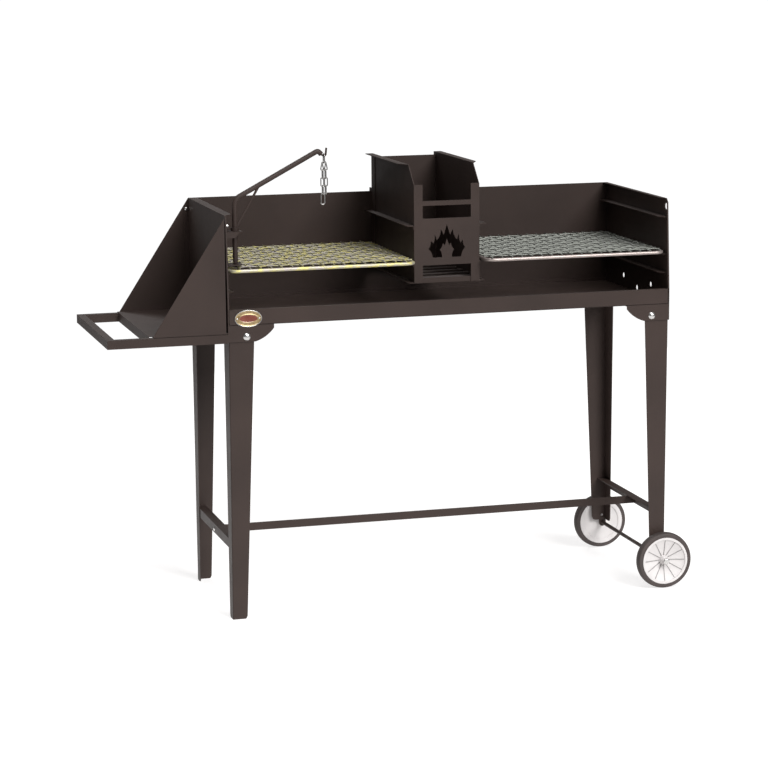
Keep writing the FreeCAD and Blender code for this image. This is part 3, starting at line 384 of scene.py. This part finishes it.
def node_piece(name, tree, values):
    """Object with the plain mesh that a Geometry Nodes tree makes from a value for each input."""
    piece = new_object(name, bpy.data.meshes.new(name))
    modifier = piece.modifiers.new(name, "NODES")
    modifier.node_group = tree
    for item in tree.interface.items_tree:
        if item.item_type == "SOCKET" and item.in_out == "INPUT":
            modifier[item.identifier] = values[item.name]
    graph = bpy.context.evaluated_depsgraph_get()
    result = bpy.data.meshes.new_from_object(piece.evaluated_get(graph))
    piece.modifiers.clear()
    piece.data = result
    return piece


def new_node_tree(name, inputs):
    """Empty Geometry Nodes tree with named inputs of given kinds; gives the tree and the inputs."""
    tree = bpy.data.node_groups.new(name, "GeometryNodeTree")
    for label, kind in inputs.items():
        tree.interface.new_socket(name=label, in_out="INPUT", socket_type="NodeSocket" + kind)
    tree.interface.new_socket(name="Geometry", in_out="OUTPUT", socket_type="NodeSocketGeometry")
    return tree, add(tree, "NodeGroupInput").outputs


def close_tree(tree, geometry, material):
    """Ends a tree: Realize Instances and Set Material."""
    real = add(tree, "GeometryNodeRealizeInstances", {"Geometry": geometry})
    dressed = add(tree, "GeometryNodeSetMaterial", {"Geometry": real, "Material": material})
    add(tree, "NodeGroupOutput", {"Geometry": dressed})
    return tree


# ---- woven grates ---------------------------------------------------------------------------
def crimp_wave(tree, given, run, low, high):
    """Height of a woven wire: over one crossing and under the next, and flat again where it meets
    the frame."""
    position = add(tree, "GeometryNodeInputPosition")
    here = add(tree, "ShaderNodeSeparateXYZ", {"Vector": position}).outputs
    start = add(tree, "ShaderNodeSeparateXYZ", {"Vector": given["First crossing"]}).outputs
    turns = []
    for axis in ("X", "Y"):
        along = add(tree, "ShaderNodeMath", {0: here[axis], 1: start[axis]}, operation="SUBTRACT")
        steps = add(tree, "ShaderNodeMath", {0: along, 1: given["Pitch"]}, operation="DIVIDE")
        turn = add(tree, "ShaderNodeMath", {0: steps, 1: math.pi}, operation="MULTIPLY")
        turns.append(add(tree, "ShaderNodeMath", {0: turn}, operation="COSINE"))
    wave = add(tree, "ShaderNodeMath", {0: turns[0], 1: turns[1]}, operation="MULTIPLY")
    from_low = add(tree, "ShaderNodeMath", {0: here[run], 1: low}, operation="SUBTRACT")
    from_high = add(tree, "ShaderNodeMath", {0: high, 1: here[run]}, operation="SUBTRACT")
    from_end = add(tree, "ShaderNodeMath", {0: from_low, 1: from_high}, operation="MINIMUM")
    fade = add(tree, "ShaderNodeMath", {0: from_end, 1: given["Pitch"]}, operation="DIVIDE")
    share = add(tree, "ShaderNodeMath", {0: fade, 1: 1.0}, operation="MINIMUM")
    return add(tree, "ShaderNodeMath", {0: wave, 1: share}, operation="MULTIPLY")


def crimped_set(tree, given, run, count, low, high, crimp):
    """One set of parallel crimped wires that run along X or Y."""
    step = "Y" if run == "X" else "X"
    start = add(tree, "ShaderNodeSeparateXYZ", {"Vector": given["First crossing"]}).outputs
    ends = [add(tree, "ShaderNodeCombineXYZ", {run: end}) for end in (low, high)]
    line = add(tree, "GeometryNodeCurvePrimitiveLine", {"Start": ends[0], "End": ends[1]})
    fine = add(tree, "GeometryNodeResampleCurve", {"Curve": line, "Count": given["Samples"]})
    first = add(tree, "ShaderNodeCombineXYZ", {step: start[step], "Z": start["Z"]})
    offset = add(tree, "ShaderNodeCombineXYZ", {step: given["Pitch"]})
    row = add(tree, "GeometryNodeMeshLine", {
        "Count": count, "Start Location": first, "Offset": offset})
    laid = add(tree, "GeometryNodeInstanceOnPoints", {"Points": row, "Instance": fine})
    real = add(tree, "GeometryNodeRealizeInstances", {"Geometry": laid})
    wave = crimp_wave(tree, given, run, low, high)
    height = add(tree, "ShaderNodeMath", {0: wave, 1: crimp}, operation="MULTIPLY")
    shift = add(tree, "ShaderNodeCombineXYZ", {"Z": height})
    bent = add(tree, "GeometryNodeSetPosition", {"Geometry": real, "Offset": shift})
    ring = add(tree, "GeometryNodeCurvePrimitiveCircle", {
        "Resolution": WIRE_SIDES, "Radius": given["Wire radius"]})
    wires = add(tree, "GeometryNodeCurveToMesh", {
        "Curve": bent, "Profile Curve": ring, "Fill Caps": True})
    return wires.outputs["Mesh"]


def woven_grate_tree():
    """Woven mesh of crimped wires over a rectangle of crossings."""
    tree, given = new_node_tree("woven_grate", {
        "First crossing": "Vector", "Pitch": "Float", "Wire radius": "Float",
        "Long crimp": "Float", "Cross crimp": "Float", "Long wires": "Int", "Cross wires": "Int",
        "Front": "Float", "Back": "Float", "Left": "Float", "Right": "Float",
        "Samples": "Int", "Material": "Material"})
    long_set = crimped_set(tree, given, "Y", given["Long wires"], given["Front"], given["Back"],
                           given["Long crimp"])
    cross_set = crimped_set(tree, given, "X", given["Cross wires"], given["Left"], given["Right"],
                            given["Cross crimp"])
    joined = add(tree, "GeometryNodeJoinGeometry", {"Geometry": long_set})
    tree.links.new(cross_set, joined.inputs["Geometry"])
    smooth = add(tree, "GeometryNodeSetShadeSmooth", {"Geometry": joined})
    return close_tree(tree, smooth, given["Material"])


def weave_grate(side, tree, material, grate):
    """Woven mesh of one grate, laid where its straight CAD wires are."""
    long_low, long_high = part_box("grate_%s_wires" % side)
    cross_low, cross_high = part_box("grate_%s_cross_wires" % side)
    rod_low, rod_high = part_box("grate_%s_frame" % side)
    cad_radius = (long_high.z - long_low.z) / 2.0
    rod_radius = (rod_high.z - rod_low.z) / 2.0
    # the mesh lies on top of the frame rod, and its first cross wire stands a little over a pitch
    # behind the rod
    first = (long_low.x + cad_radius, rod_low.y + rod_radius + FIRST_CROSS * grate.pitch,
             rod_high.z + grate.wire / 2.0)
    across = long_high.x - long_low.x - 2.0 * cad_radius
    deep = cross_high.y - cad_radius - first[1]
    gaps = round(across / grate.pitch)
    crimp = grate.crimp * grate.wire
    name = "grate_%s_mesh" % side
    piece = node_piece(name, tree, {
        "First crossing": first, "Pitch": across / gaps, "Wire radius": grate.wire / 2.0,
        "Long crimp": LONG_SHARE * crimp, "Cross crimp": -CROSS_SHARE * crimp,
        "Long wires": gaps + 1, "Cross wires": int(deep / grate.pitch) + 1,
        "Front": long_low.y, "Back": long_high.y,
        "Left": rod_low.x + rod_radius, "Right": rod_high.x - rod_radius,
        "Samples": WIRE_SAMPLES, "Material": material})
    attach(piece, "grate_" + side)
    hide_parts("grate_%s_wires" % side, "grate_%s_cross_wires" % side)


# ---- wheels ---------------------------------------------------------------------------------
def rounded(points, radius, steps):
    """Closed profile with each corner rounded by a short arc."""
    result = []
    for i, point in enumerate(points):
        corner = Vector(point)
        back = Vector(points[i - 1]) - corner
        ahead = Vector(points[(i + 1) % len(points)]) - corner
        reach = min(radius, back.length * 0.45, ahead.length * 0.45)
        enter = corner + back.normalized() * reach
        leave = corner + ahead.normalized() * reach
        for k in range(steps + 1):
            t = k / steps
            result.append(tuple((1 - t) ** 2 * enter + 2 * t * (1 - t) * corner + t ** 2 * leave))
    return result


def turned_mesh(name, profile, centre, outward):
    """Ring turned about an axle along Y from a closed profile of (radius, depth) points."""
    shape = bmesh.new()
    rings = []
    for k in range(TURNED_SEGMENTS):
        angle = 2.0 * math.pi * k / TURNED_SEGMENTS
        rings.append([shape.verts.new((centre.x + r * math.sin(angle), centre.y - outward * d,
                                       centre.z + r * math.cos(angle))) for r, d in profile])
    for k, near in enumerate(rings):
        far = rings[(k + 1) % TURNED_SEGMENTS]
        for i in range(len(profile)):
            j = (i + 1) % len(profile)
            shape.faces.new((near[i], near[j], far[j], far[i]))
    bmesh.ops.recalc_face_normals(shape, faces=shape.faces)
    shade_smooth(shape, TURNED_SHARP)
    mesh = bpy.data.meshes.new(name)
    shape.to_mesh(mesh)
    shape.free()
    return mesh


def tyre_profile(radius, seat, width):
    """Profile of the solid tyre: a tread that falls a little towards rounded shoulders."""
    shoulder = radius - SHOULDER_DROP
    return rounded([(seat, 0.0), (shoulder, 0.0), (radius, SHOULDER_WIDTH),
                    (radius, width - SHOULDER_WIDTH), (shoulder, width), (seat, width)],
                   TYRE_ROUNDING, 6)


def disc_profile(disc, seat, width):
    """Profile of the moulded disc: hub and dish outside, a lipped rim round the tyre's seat, and a
    flat web and hub inside."""
    outer_side = [(BORE_RADIUS, -HUB_PROUD), (HUB_RADIUS, -HUB_PROUD),
                  (DISH_START_RADIUS, DISH_START_DEPTH), (seat - LIP, DISH_END_DEPTH),
                  (seat - LIP / 2.0, -LIP), (disc, -LIP), (disc, 0.0), (seat, 0.0)]
    inner_side = [(seat, width), (disc, width), (disc, width + LIP),
                  (INNER_RIM_RADIUS, width + LIP), (INNER_WEB_RADIUS, width - LIP),
                  (INNER_HUB_RADIUS, width - LIP), (INNER_HUB_RADIUS, width + HUB_PROUD),
                  (BORE_RADIUS, width + HUB_PROUD)]
    return rounded(outer_side + inner_side, DISC_ROUNDING, 2)


def wheel_rib_tree():
    """Ribs standing round a hub like spokes, each a thin bar that sinks towards the middle."""
    tree, given = new_node_tree("wheel_ribs", {
        "Ribs": "Int", "Inner radius": "Float", "Outer radius": "Float", "Width": "Float",
        "Height": "Float", "Fall": "Float", "Centre": "Vector", "Facing": "Float",
        "Material": "Material"})
    ends = {0: given["Outer radius"], 1: given["Inner radius"]}
    length = add(tree, "ShaderNodeMath", ends, operation="SUBTRACT")
    total = add(tree, "ShaderNodeMath", ends, operation="ADD")
    middle = add(tree, "ShaderNodeMath", {0: total, 1: 0.5}, operation="MULTIPLY")
    size = add(tree, "ShaderNodeCombineXYZ", {
        "X": length, "Y": given["Width"], "Z": given["Height"]})
    bar = add(tree, "GeometryNodeMeshCube", {"Size": size})
    sink = add(tree, "ShaderNodeMath", {0: given["Fall"], 1: -1.0}, operation="MULTIPLY")
    tilt = add(tree, "ShaderNodeCombineXYZ", {"Y": sink})
    sunk = add(tree, "GeometryNodeTransform", {"Geometry": bar, "Rotation": tilt})
    circle = add(tree, "GeometryNodeMeshCircle", {"Vertices": given["Ribs"], "Radius": middle})
    position = add(tree, "GeometryNodeInputPosition")
    turn = add(tree, "FunctionNodeAlignRotationToVector", {"Vector": position},
               axis="X", pivot_axis="Z")
    placed = add(tree, "GeometryNodeInstanceOnPoints", {
        "Points": circle, "Instance": sunk, "Rotation": turn})
    upright = add(tree, "ShaderNodeMath", {0: given["Facing"], 1: math.pi / 2.0},
                  operation="MULTIPLY")
    stand = add(tree, "ShaderNodeCombineXYZ", {"X": upright})
    wheel = add(tree, "GeometryNodeTransform", {
        "Geometry": placed, "Translation": given["Centre"], "Rotation": stand})
    return close_tree(tree, wheel, given["Material"])


def mould_wheel(place, outward, tree, rubber, plastic, shaded_ribs, wheel):
    """One wheel: tyre, dished disc and ribs. outward is -1 for the front wheel and 1 for the rear
    one."""
    low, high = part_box("wheel_%s_tyre" % place)
    disc_low, disc_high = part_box("wheel_%s_disc" % place)
    outer_y = low.y if outward < 0 else high.y
    centre = Vector(((low.x + high.x) / 2.0, outer_y, (low.z + high.z) / 2.0))
    width = high.y - low.y
    radius = (high.x - low.x) / 2.0
    disc = (disc_high.x - disc_low.x) / 2.0
    seat = disc - SEAT_INSET
    body = "wheel_" + place
    mesh = turned_mesh(body + "_tyre_round", tyre_profile(radius, seat, width), centre, outward)
    tyre = new_piece(body + "_tyre_round", mesh, body, [rubber])
    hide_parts(body + "_tyre")
    mesh = turned_mesh(body + "_disc_round", disc_profile(disc, seat, width), centre, outward)
    plate = new_piece(body + "_disc_round", mesh, body, [plastic])
    fall = math.atan2(DISH_START_DEPTH - DISH_END_DEPTH, seat - LIP - DISH_START_RADIUS)
    ribs = node_piece(body + "_ribs", tree, {
        "Ribs": wheel.ribs, "Inner radius": RIB_START_RADIUS, "Outer radius": seat - RIB_END_GAP,
        "Width": wheel.rib_width, "Height": RIB_HEIGHT, "Fall": fall,
        "Centre": (centre.x, centre.y - outward * RIB_DEPTH, centre.z), "Facing": -outward,
        # the ribs take the darker copy, painted shade for their shadow lines
        "Material": shaded_ribs})
    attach(ribs, body)
    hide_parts(body + "_disc")


# ---- badge ----------------------------------------------------------------------------------
def badge_mesh(low, high):
    """Oval plate seen from the front: raised rim, field, a thin raised line and a sunk middle."""
    middle = (low + high) / 2.0
    half_x, half_z = (high.x - low.x) / 2.0, (high.z - low.z) / 2.0
    thick = high.y - low.y
    shape = bmesh.new()
    loops = []
    for share, rise, _ in BADGE_RINGS:
        loop = []
        for k in range(BADGE_SEGMENTS):
            angle = 2.0 * math.pi * k / BADGE_SEGMENTS
            reach_x = half_x - half_z * (1 - share)
            loop.append(shape.verts.new((middle.x + reach_x * math.cos(angle),
                                         high.y - thick * rise,
                                         middle.z + half_z * share * math.sin(angle))))
        loops.append(loop)
    for outer, inner, (_, _, finish) in zip(loops, loops[1:], BADGE_RINGS):
        for k in range(BADGE_SEGMENTS):
            n = (k + 1) % BADGE_SEGMENTS
            shape.faces.new((outer[k], outer[n], inner[n], inner[k])).material_index = finish
    shape.faces.new(loops[-1]).material_index = BADGE_RINGS[-1][2]
    shape.faces.new(list(reversed(loops[0]))).material_index = BADGE_RINGS[0][2]
    bmesh.ops.recalc_face_normals(shape, faces=shape.faces)
    for face in shape.faces:
        face.smooth = len(face.verts) == 4
    mesh = bpy.data.meshes.new("badge_oval")
    shape.to_mesh(mesh)
    shape.free()
    return mesh


# ---- settings -------------------------------------------------------------------------------
class BarbecueLook(bpy.types.PropertyGroup):
    """Colours and gloss of the cart's finishes."""
    enamel_colour: FloatVectorProperty(
        name="Enamel", description="Base colour of the baked enamel",
        subtype="COLOR", size=4, min=0.0, max=1.0, default=linear("#352A26"))
    enamel_roughness: FloatProperty(
        name="Enamel roughness", description="Mean roughness of the baked enamel",
        default=0.5, min=0.1, max=1.0, subtype="FACTOR")
    grate_yellow: FloatVectorProperty(
        name="Yellow passivate", description="Straw tone of the left grate's plating",
        subtype="COLOR", size=4, min=0.0, max=1.0, default=linear("#8C8870"))
    grate_bright: FloatVectorProperty(
        name="Bright plating", description="Tone of the right grate's plating",
        subtype="COLOR", size=4, min=0.0, max=1.0, default=linear("#7F817B"))
    wheel_colour: FloatVectorProperty(
        name="Wheel discs", description="Colour of the moulded wheel discs",
        subtype="COLOR", size=4, min=0.0, max=1.0, default=linear("#CFCBCA"))
    tyre_colour: FloatVectorProperty(
        name="Tyres", description="Colour of the solid tyres",
        subtype="COLOR", size=4, min=0.0, max=1.0, default=linear("#3A3230"))


class BarbecueGrates(bpy.types.PropertyGroup):
    """Sizes of the woven cooking grates."""
    wire: FloatProperty(
        name="Wire diameter", description="Diameter of the woven wires",
        default=3.8 * MM, min=1 * MM, max=10 * MM, subtype="DISTANCE", unit="LENGTH", precision=4)
    pitch: FloatProperty(
        name="Wire pitch", description="Distance between neighbouring wires",
        default=27 * MM, min=10 * MM, max=80 * MM, subtype="DISTANCE", unit="LENGTH", precision=4)
    crimp: FloatProperty(
        name="Crimp",
        description="How far the wires bend round one another, as a share of their diameter",
        default=0.6, min=0.0, max=1.0, subtype="FACTOR")


class BarbecueWheels(bpy.types.PropertyGroup):
    """Sizes of the wheels' ribs."""
    ribs: IntProperty(
        name="Ribs", description="Number of ribs on each wheel disc", default=12, min=3, max=36)
    rib_width: FloatProperty(
        name="Rib width", description="Width of one rib",
        default=1.6 * MM, min=0.5 * MM, max=6 * MM,
        subtype="DISTANCE", unit="LENGTH", precision=4)


class BarbecueStage(bpy.types.PropertyGroup):
    """Studio floor and lights."""
    floor_colour: FloatVectorProperty(
        name="Floor", description="Colour of the studio floor",
        subtype="COLOR", size=4, min=0.0, max=1.0, default=linear("#A8A7A6"))
    glow: FloatProperty(
        name="Floor glow",
        description="Strength of the light that comes up through the paper floor",
        default=0.72, min=0.0, max=5.0)
    sky: FloatProperty(
        name="Surround light", description="Strength of the even white light from all sides",
        default=0.12, min=0.0, max=5.0)
    key: FloatProperty(
        name="Key light", description="Strength of the soft light from the front",
        default=3.3, min=0.0, max=20.0)
    overhead: FloatProperty(
        name="Overhead light", description="Strength of the soft light from above",
        default=1.0, min=0.0, max=20.0)
    rear: FloatProperty(
        name="Rear light", description="Strength of the soft light from behind",
        default=1.1, min=0.0, max=20.0)


# ---- operators ------------------------------------------------------------------------------
class EnamelSteel(bpy.types.Operator):
    """Enamel the sheet steel, tubes and bars"""
    bl_idname = "barbecue.enamel_steel"
    bl_label = "Enamel the steel"

    def execute(self, context):
        enamel = baked_enamel(context.scene.barbecue_look)
        for node in ENAMELLED:
            finish_node(node, enamel)
        for node in ROUND_BARS:
            smooth_piece(node, enamel)
        return {"FINISHED"}


class PlateFasteners(bpy.types.Operator):
    """Zinc-plate the bolts, axle caps and badge rivets"""
    bl_idname = "barbecue.plate_fasteners"
    bl_label = "Plate the fasteners"

    def execute(self, context):
        zinc = bright_zinc("bright_zinc_fasteners", linear("#DAD8D6"), 0.3)
        for node in FASTENERS + ["badge_rivets"]:
            smooth_piece(node, zinc)
        return {"FINISHED"}


class WeaveGrates(bpy.types.Operator):
    """Weave the two cooking grates from crimped wire and plate their frames"""
    bl_idname = "barbecue.weave_grates"
    bl_label = "Weave the grates"

    def execute(self, context):
        look, grate = context.scene.barbecue_look, context.scene.barbecue_grates
        # the rods' plating is a lighter copy of the wires': painted light where the thick rods catch
        # light
        plating = {
            "left": (yellow_zinc(look, "yellow_passivated_wire", 1.0),
                     yellow_zinc(look, "yellow_passivated_rod", 1.9), "grate_yellow_zinc"),
            "right": (bright_zinc("bright_zinc_wire", look.grate_bright, 0.48, 0.6),
                      bright_zinc("bright_zinc_rod", linear("#B4A8A3"), 0.42, 0.7),
                      "grate_bright_zinc")}
        tree = woven_grate_tree()
        for side, (wire, rod, slot) in plating.items():
            weave_grate(side, tree, wire, grate)
            smooth_piece("grate_%s_frame" % side, rod)
        return {"FINISHED"}


class HangChain(bpy.types.Operator):
    """Plate the chain that hangs from the pot arm"""
    bl_idname = "barbecue.hang_chain"
    bl_label = "Hang the chain"

    def execute(self, context):
        zinc = bright_zinc("bright_zinc_chain", linear("#BEBCBA"), 0.36)
        for node in CHAIN:
            smooth_piece(node, zinc)
        return {"FINISHED"}


class MouldWheels(bpy.types.Operator):
    """Mould the two wheels: solid tyres on ribbed plastic discs"""
    bl_idname = "barbecue.mould_wheels"
    bl_label = "Mould the wheels"

    def execute(self, context):
        look, wheel = context.scene.barbecue_look, context.scene.barbecue_wheels
        rubber = tyre_rubber(look)
        plastic = wheel_polypropylene(look, "moulded_polypropylene", 1.0)
        # the ribs' copy is darker: painted shade for the shadow lines along the ribs
        shaded_ribs = wheel_polypropylene(look, "dusty_moulded_polypropylene", 0.42)
        tree = wheel_rib_tree()
        for place, outward in (("front", -1.0), ("rear", 1.0)):
            mould_wheel(place, outward, tree, rubber, plastic, shaded_ribs, wheel)
        return {"FINISHED"}


class FitBadge(bpy.types.Operator):
    """Fit the plain oval badge on the apron"""
    bl_idname = "barbecue.fit_badge"
    bl_label = "Fit the badge"

    def execute(self, context):
        low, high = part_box("badge_plate")
        rim = bright_zinc("silver_badge_rim", linear("#D2D0CB"), 0.28)
        materials = [rim, gilt_lacquer(), badge_enamel()]
        piece = new_piece("badge_oval", badge_mesh(low, high), "frame", materials)
        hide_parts("badge_plate")
        return {"FINISHED"}


class SetStage(bpy.types.Operator):
    """Set the pale floor, the soft lights and the camera"""
    bl_idname = "barbecue.set_stage"
    bl_label = "Set the stage"

    def execute(self, context):
        stage = context.scene.barbecue_stage
        self.lay_floor(stage)
        self.hang_lights(context, stage)
        self.stand_camera(context)
        context.scene.view_settings.view_transform = "Standard"
        return {"FINISHED"}

    def lay_floor(self, stage):
        """A square of paper round the origin."""
        corners = [(x * FLOOR_REACH, y * FLOOR_REACH, 0.0)
                   for x, y in ((-1, -1), (1, -1), (1, 1), (-1, 1))]
        mesh = bpy.data.meshes.new("studio_floor")
        mesh.from_pydata(corners, [], [(0, 1, 2, 3)])
        mesh.materials.append(studio_paper(stage))
        floor = new_object("studio_floor", mesh)

    def hang_lights(self, context, stage):
        """A surround that is bright to the camera and dim to the cart, and three distant lights."""
        world = bpy.data.worlds.new("studio_surround")
        world.use_nodes = True
        tree = world.node_tree
        seen = add(tree, "ShaderNodeLightPath").outputs["Is Camera Ray"]
        strength = add(tree, "ShaderNodeMapRange", {
            "Value": seen, "To Min": stage.sky, "To Max": BACKDROP})
        tree.links.new(strength.outputs["Result"], tree.nodes["Background"].inputs["Strength"])
        tree.nodes["Background"].inputs["Color"].default_value = linear("#FFFFFF")
        context.scene.world = world
        for name, (spread, direction) in SOFTBOXES.items():
            lamp = bpy.data.lights.new(name + "_softbox", "SUN")
            lamp.energy = getattr(stage, name)
            lamp.angle = math.radians(spread)
            sun = new_object(name + "_softbox", lamp)
            sun.rotation_euler = (-Vector(direction)).to_track_quat("-Z", "Y").to_euler()

    def stand_camera(self, context):
        """A long lens well off, a little to the left and above, looking slightly down."""
        lens = bpy.data.cameras.new("studio_camera")
        lens.sensor_width = SENSOR_WIDTH
        lens.lens = LENS_LENGTH
        yaw, pitch, roll = [math.radians(a) for a in (CAMERA_YAW, CAMERA_PITCH, CAMERA_ROLL)]
        level = Euler((math.pi / 2.0 - pitch, 0.0, -yaw)).to_matrix()
        aim = level @ Matrix.Rotation(-roll, 3, "Z")
        camera = new_object("studio_camera", lens)
        camera.matrix_world = Matrix.Translation(CAMERA_PLACE) @ aim.to_4x4()
        context.scene.camera = camera


SETTINGS = {
    "barbecue_look": BarbecueLook, "barbecue_grates": BarbecueGrates,
    "barbecue_wheels": BarbecueWheels, "barbecue_stage": BarbecueStage,
}
OPERATORS = (
    EnamelSteel, PlateFasteners, WeaveGrates, HangChain, MouldWheels, FitBadge, SetStage,
)


class BarbecuePanel(bpy.types.Panel):
    """Lists the steps that finish the cart"""
    bl_idname = "VIEW3D_PT_barbecue"
    bl_label = "Barbecue cart"
    bl_space_type = "VIEW_3D"
    bl_region_type = "UI"
    bl_category = "Barbecue"

    def draw(self, context):
        for group in SETTINGS:
            settings = getattr(context.scene, group)
            box = self.layout.box()
            for name in settings.bl_rna.properties.keys():
                if name not in {"rna_type", "name"}:
                    box.prop(settings, name)
        for operator in OPERATORS:
            self.layout.operator(operator.bl_idname)


CLASSES = (*SETTINGS.values(), *OPERATORS, BarbecuePanel)


def register():
    for item in CLASSES:
        bpy.utils.register_class(item)
    for name, group in SETTINGS.items():
        setattr(bpy.types.Scene, name, PointerProperty(type=group))


def unregister():
    for name in SETTINGS:
        delattr(bpy.types.Scene, name)
    for item in reversed(CLASSES):
        bpy.utils.unregister_class(item)


def main():
    """Runs every step in order."""
    register()
    bpy.ops.barbecue.enamel_steel()
    bpy.ops.barbecue.plate_fasteners()
    bpy.ops.barbecue.weave_grates()
    bpy.ops.barbecue.hang_chain()
    bpy.ops.barbecue.mould_wheels()
    bpy.ops.barbecue.fit_badge()
    bpy.ops.barbecue.set_stage()


if __name__ == "__main__":
    main()
